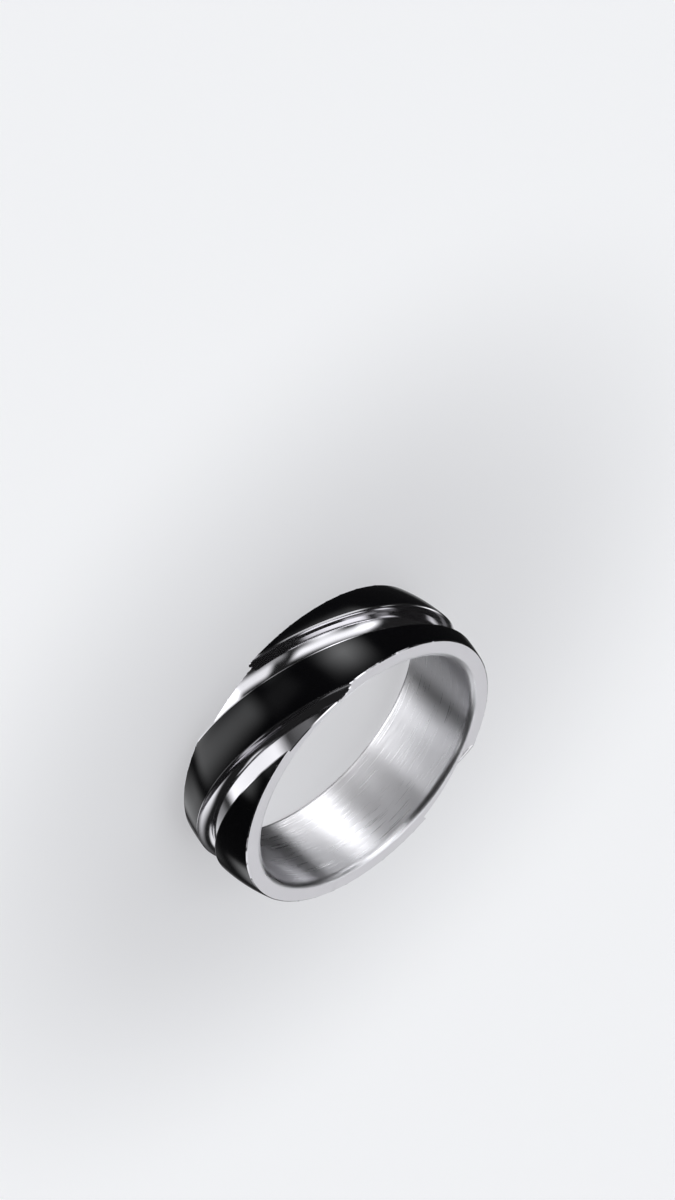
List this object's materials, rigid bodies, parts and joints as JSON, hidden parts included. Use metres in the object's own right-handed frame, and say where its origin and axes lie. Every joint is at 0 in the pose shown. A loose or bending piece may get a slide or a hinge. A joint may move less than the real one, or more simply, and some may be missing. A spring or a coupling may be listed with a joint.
{
  "type": "finger ring",
  "caption": "Domed titanium ring with polished grooves that lean across gloss black bands, and a round finger bore.",
  "frame": {"origin": "on the bottom flat face, in the centre of the finger bore", "axes": "+Z along the bore, up to the top flat face; -Y towards the side that the picture shows, where the bands climb to the left; the bands lean about Y"},
  "size_m": [0.0228, 0.0228, 0.0065],
  "materials": {
    "silver_titanium": "satin flat faces, brushed bore, mirror-polished grooves",
    "black_finish": "polished gloss black"
  },
  "bodies": {
    "root": {"ring_band": "silver_titanium", "black_band_top": "black_finish", "black_band_middle": "black_finish", "black_band_bottom": "black_finish"}
  },
  "joints": []
}
